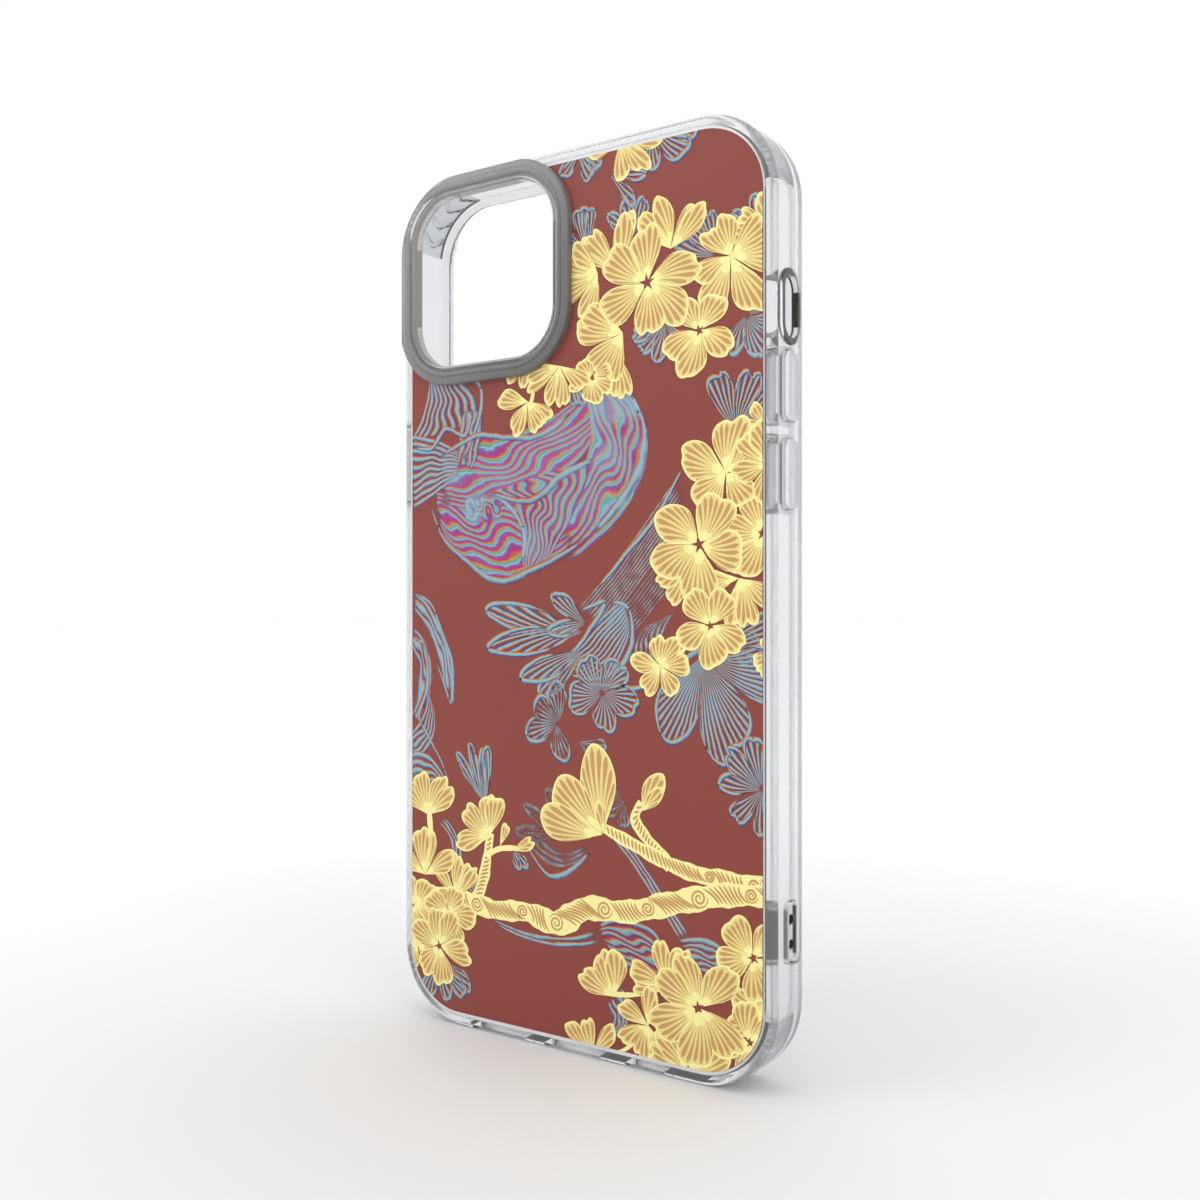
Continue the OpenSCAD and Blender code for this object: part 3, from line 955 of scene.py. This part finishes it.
# Outlines are knots, then width, shine and kind.
OUTLINES = [
    ([(4, 59), (8, 68), (15, 73.5), (22, 77), (29, 75.5), (37, 72.5), (44, 69)], 0.9, 0.2, 0.2),
    ([(52, 43), (55.5, 50), (54.5, 57), (50, 63.5), (44, 69)], 1.2, 0.8, 0.1),
    ([(20, 60), (30, 62), (38, 57.5), (45, 55)], 0.8, 0.5, 0.4),
    ([(6, 53), (16, 49), (24, 49.5), (32, 50), (40, 46)], 0.7, 0.3, 0.3),
    ([(28, 74), (28.5, 68), (25, 63), (20, 60)], 0.8, 0.9, 0.2),
    ([(0, 35.5), (7, 37), (14, 37.5), (18, 40), (17, 47), (12, 55)], 0.7, 0.4, 0.1),
    ([(0, 50), (5, 50.5), (9, 47), (14, 48.5), (16, 43)], 0.6, 0.2, 0.1),
    ([(38, 94), (44, 95), (50, 93), (53, 88), (52, 82), (47, 81)], 0.7, 0.4, 0),
    ([(41, 83), (47, 81), (43, 87), (39, 91)], 0.6, 0.3, 0),
    ([(45, 79), (52, 72), (58, 66), (64, 57)], 0.5, 0.1, 0),
    ([(0, 79), (5, 81.5), (8, 87), (10.5, 93), (10.5, 101), (8, 96), (6, 92)], 0.7, 0.4, 0.1),
    ([(0, 88.5), (3.5, 90), (4, 98), (2, 104), (4.5, 108), (8, 113), (10, 117)], 0.6, 0.4, 0.1),
    ([(62, 93), (66, 89.5), (71, 88), (76, 89), (80, 88.5)], 0.6, 0.3, 0.2),
    ([(45, 140), (50, 138), (57, 139), (61, 143), (66, 145)], 0.6, 0.2, 0.2),
    ([(47, 142), (51, 145), (58, 146.5), (64, 148)], 0.6, 0.3, 0.2),
    ([(28, 125), (31, 129), (35, 132), (40, 130), (44, 126)], 0.5, 0.3, 0),
    ([(40, 96), (48, 96), (55, 96), (60, 92), (63, 88)], 0.5, 0.2, 0),
    ([(62, 140), (68, 139), (73, 141), (77, 144)], 0.6, 0.2, 0.1),
]
# Ghosts are x, y, radius, turn, layer, and their form.
GHOSTS = [
    (43, 86.5, 23, 181, 4, fan(2, 34, 0.9, power=1.2, shine=0.2)),
    (43, 90, 15, 164, 8, fan(2, 40, 0.9, power=1.3)),
    (43, 85, 9, 192, 12, fan(2, 50, 0.9, power=1.4)),
    (67.5, 90, 17, 98, 4, fan(2, 80, 0.72, shine=0.5)),
    (67.5, 90, 16, 12, 12, fan(2, 80, 0.72, shine=0.5)),
    (46.5, 97.5, 7.2, 10, 4, {}),
    (36.5, 103.5, 7, 190, 12, fan(4, 250, power=1.9, strength=0.8)),
    (41, 106.5, 6, 20, 4, fan(2, 60, power=1.9, strength=0.8)),
    (79, 112, 8.4, 170, 8, fan(5, 200)),
    (74, 53, 11, 278, 4, fan(3, 80, 0.75, shine=0)),
    (19, 120, 11, 256, 4, fan(4, 75, power=1.8, shine=0.4)),
    (38.5, 125, 11.4, 222, 4, fan(3, 66, power=1.8, strength=0.6)),
    (57, -3, 9, 60, 4, fan(3, 110, 0.75, shine=0.1)),
    (41.5, -2, 6, 80, 4, fan(3, 120)),
    (48, 4, 8, 30, 12, fan(2, 50, power=1.8)),
    (43, 17, 8, 250, 4, fan(3, 110, shine=0.1)),
    (53, 16, 7, 262, 8, fan(3, 110, shine=0.1)),
    (70, 22, 8, 240, 4, fan(4, 150, shine=0.1)),
    (78, 20, 7, 270, 8, fan(3, 120, shine=0.1)),
    (76, 33, 7, 60, 4, fan(4, 200, shine=0.4)),
    (60, 32, 7, 120, 4, fan(4, 160, shine=0.2)),
    (52, 31, 6, 230, 8, fan(3, 120, shine=0.4)),
    (40, 40, 5, 60, 8, fan(3, 120, shine=0.5)),
    (8, 152, 8, 80, 4, fan(4, 150, shine=0.4)),
    (51.5, 117, 4.4, 160, 4, fan(3, 150, strength=0.7)),
    (26, 128, 4, 60, 4, fan(2, 90, power=1.9)),
    (75, 86, 5, 70, 8, fan(3, 150)),
]


def ink_set():
    prints = settings()[0]
    inks = {"cream": prints.cream, "rib": prints.rib, "tan": prints.tan, "dark": prints.ground}
    return [ink_finish(name + " ink", tuple(colour)) for name, colour in inks.items()]


# ---------------------------------------------------------------- operators


def dress(node, material):
    """Gives a solid of the frame one finish."""
    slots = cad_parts[node].data.materials
    slots.clear()
    slots.append(material)


class CASE_OT_plastics(bpy.types.Operator):
    """Give the bumper, plate, guard, covers and inserts their clear plastics"""

    bl_idname = "case.plastics"
    bl_label = "Clear plastics"

    def execute(self, context):
        plastic = settings()[1]
        bumper = clear_finish("clear soft plastic", plastic.bumper, plastic.rough, 0.12)
        # the guard gets painted shade, its colour darkening from its top left to its bottom right
        guard = clear_finish("clear plastic with painted shade", plastic.guard, plastic.rough * 0.6, 0.27,
                             (GUARD_LOW, GUARD_HIGH))
        # white ink covers the sheet's whole back, so the sheet looks white and glossy
        plate = clear_finish("clear sheet over white", plastic.backed, plastic.rough * 0.5, 1.0)
        insert = clear_finish("clear hard insert", plastic.plate, plastic.rough * 0.5, 0.05)
        cushion = clear_finish("cushion plastic", plastic.cushion, plastic.rough * 2, 0.15)
        dress("bumper_frame", bumper)
        dress("camera_guard", guard)
        dress("back_plate", plate)
        for node in ("mute_slot_frame", "lanyard_anchor"):
            dress(node, insert)
        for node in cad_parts:
            if node.endswith("_cover"):
                dress(node, bumper)
            if node.startswith("corner_cushion"):
                dress(node, cushion)
        return {"FINISHED"}


class CASE_OT_grounds(bpy.types.Operator):
    """Ink the white base and the coloured ground of the picture"""

    bl_idname = "case.grounds"
    bl_label = "Printed grounds"

    def execute(self, context):
        dress("ink_base", ink_finish("white ink", linear(238, 236, 232)))
        dress("artwork_print", ink_finish("ground ink", tuple(settings()[0].ground)))
        return {"FINISHED"}


class CASE_OT_ghosts(bpy.types.Operator):
    """Print the ghost flowers with slipped colours that lie under the blossoms"""

    bl_idname = "case.ghosts"
    bl_label = "Ghost flowers"

    def execute(self, context):
        rng = random.Random(5)
        finish = slipped_finish("slipped inks")
        silks = Print()
        for k, (first, second, folds, *look) in enumerate(SHEETS):
            draw_sheet(silks, first, second, folds, 1 + k % 8, *look)
        for k, (knots, width, shine, kind) in enumerate(OUTLINES):
            draw_fringed(silks, through(knots, 7), width, 9 + 0.5 * (k % 4), 1.0, shine, kind)
        silks.piece("ghost_silks", [finish], "ink_ghost")
        flowers = Print()
        for x, y, radius, turn, layer, form in GHOSTS:
            draw_ghost(flowers, rng, x, y, radius, turn, layer + 7, form)
        flowers.piece("ghost_flowers", [finish], "ink_ghost")
        return {"FINISHED"}


class CASE_OT_branches(bpy.types.Operator):
    """Print the branches, twigs and stems"""

    bl_idname = "case.branches"
    bl_label = "Branches"

    def execute(self, context):
        rng = random.Random(8)
        art = Print()
        for k, knots in enumerate(BRANCHES):
            draw_branch(art, rng, knots, BRANCH_LAYER + 1.5 * (k % 5))
        art.piece("branches", ink_set(), "ink_cream")
        return {"FINISHED"}


class CASE_OT_blossoms(bpy.types.Operator):
    """Print the sprays of cream blossoms"""

    bl_idname = "case.blossoms"
    bl_label = "Blossoms"

    def execute(self, context):
        rim = settings()[0].rim / MM
        inks = ink_set()
        for name, (flowers, seed) in SPRAYS.items():
            rng = random.Random(seed)
            art = Print()
            ranked = sorted(flowers, key=lambda flower: flower[4])
            for rank, (x, y, radius, turn, _, form) in enumerate(ranked):
                draw_blossom(art, rng, rim, x, y, radius, turn, rank, form)
            art.piece(name, inks, "ink_cream")
        return {"FINISHED"}


FLOOR_RADIUS = 6.0
PAINTED_SHADOW_REACH = 0.32       # how far from the case the painted shadow on the floor fades into the far colour


def area_light(name, place, target, size, power):
    lamp = bpy.data.lights.new(name, "AREA")
    lamp.shape = "RECTANGLE"
    lamp.size, lamp.size_y = size
    lamp.energy = power
    made = bpy.data.objects.new(name, lamp)
    made.location = place
    made.rotation_euler = (Vector(target) - Vector(place)).to_track_quat("-Z", "Y").to_euler()
    bpy.context.scene.collection.objects.link(made)


class CASE_OT_stage(bpy.types.Operator):
    """Set the floor with painted shadow around the case, the soft studio lights and the camera"""

    bl_idname = "case.stage"
    bl_label = "Stage"

    def execute(self, context):
        stage = settings()[2]
        scene = context.scene
        middle = Vector((0, 0, (CASE_LOW.z + CASE_HIGH.z) / 2))
        work = bmesh.new()
        bmesh.ops.create_circle(work, cap_ends=True, segments=96, radius=FLOOR_RADIUS)
        mesh = bpy.data.meshes.new("floor")
        work.to_mesh(mesh)
        work.free()
        floor = bpy.data.objects.new("floor", mesh)
        floor.location.z = CASE_LOW.z
        scene.collection.objects.link(floor)
        # the floor's colour carries a painted shadow, darker near the case and fading out with
        # distance
        shader = Shader("pale floor with painted shadow", Roughness=0.75, Specular_IOR_Level=0.15)
        away = shader.add("VectorMath", {"operation": "LENGTH"},
                          {0: shader.add("TexCoord", output="Object")}, "Value")
        share = shader.add("MapRange", {"interpolation_type": "SMOOTHSTEP"},
                           {"Value": away, "From Min": 0.0, "From Max": PAINTED_SHADOW_REACH})
        shader.feed("Base Color", shader.blend(share, rgba(stage.floor_painted_shadow), rgba(stage.floor_far)))
        mesh.materials.append(shader.material)

        world = scene.world or bpy.data.worlds.new("studio")
        scene.world = world
        world.use_nodes = True
        background = world.node_tree.nodes["Background"]
        background.inputs["Color"].default_value = (1, 1, 1, 1)
        background.inputs["Strength"].default_value = 1.0
        area_light("key", (-0.55, -0.75, 0.75), middle, (0.6, 0.6), 1.6)
        area_light("fill", (0.8, -0.35, 0.45), middle, (0.5, 0.7), 0.8)

        data = bpy.data.cameras.new("camera")
        data.sensor_width = 36
        data.lens = stage.lens
        data.clip_start, data.clip_end = 0.01, 30
        camera = bpy.data.objects.new("camera", data)
        camera.location = (stage.camera_aside, FILM_LOW.y - stage.camera_away,
                           (FILM_LOW.z + FILM_HIGH.z) / 2)
        camera.rotation_euler = (math.pi / 2, 0, stage.camera_turn)
        scene.collection.objects.link(camera)
        scene.camera = camera
        scene.view_settings.view_transform = "Standard"
        scene.view_settings.look = "None"
        return {"FINISHED"}


class CASE_PT_panel(bpy.types.Panel):
    """Lists the steps and their settings"""

    bl_idname = "CASE_PT_panel"
    bl_label = "Phone case"
    bl_space_type = "VIEW_3D"
    bl_region_type = "UI"
    bl_category = "Phone case"

    def draw(self, context):
        for operator in OPERATORS:
            self.layout.operator(operator.bl_idname)
        for group in settings():
            box = self.layout.box()
            for name in group.__annotations__:
                box.prop(group, name)


OPERATORS = (CASE_OT_stage, CASE_OT_plastics, CASE_OT_grounds, CASE_OT_ghosts, CASE_OT_branches,
             CASE_OT_blossoms)
GROUPS = {"case_print": PrintSettings, "case_plastic": PlasticSettings,
          "case_stage": StageSettings}
CLASSES = (*GROUPS.values(), *OPERATORS, CASE_PT_panel)


def register():
    for cls in CLASSES:
        bpy.utils.register_class(cls)
    for name, group in GROUPS.items():
        setattr(bpy.types.Scene, name, bpy.props.PointerProperty(type=group))


def unregister():
    for name in GROUPS:
        delattr(bpy.types.Scene, name)
    for cls in reversed(CLASSES):
        bpy.utils.unregister_class(cls)


def main():
    register()
    for operator in OPERATORS:
        group, name = operator.bl_idname.split(".")
        getattr(getattr(bpy.ops, group), name)()


if __name__ == "__main__":
    main()
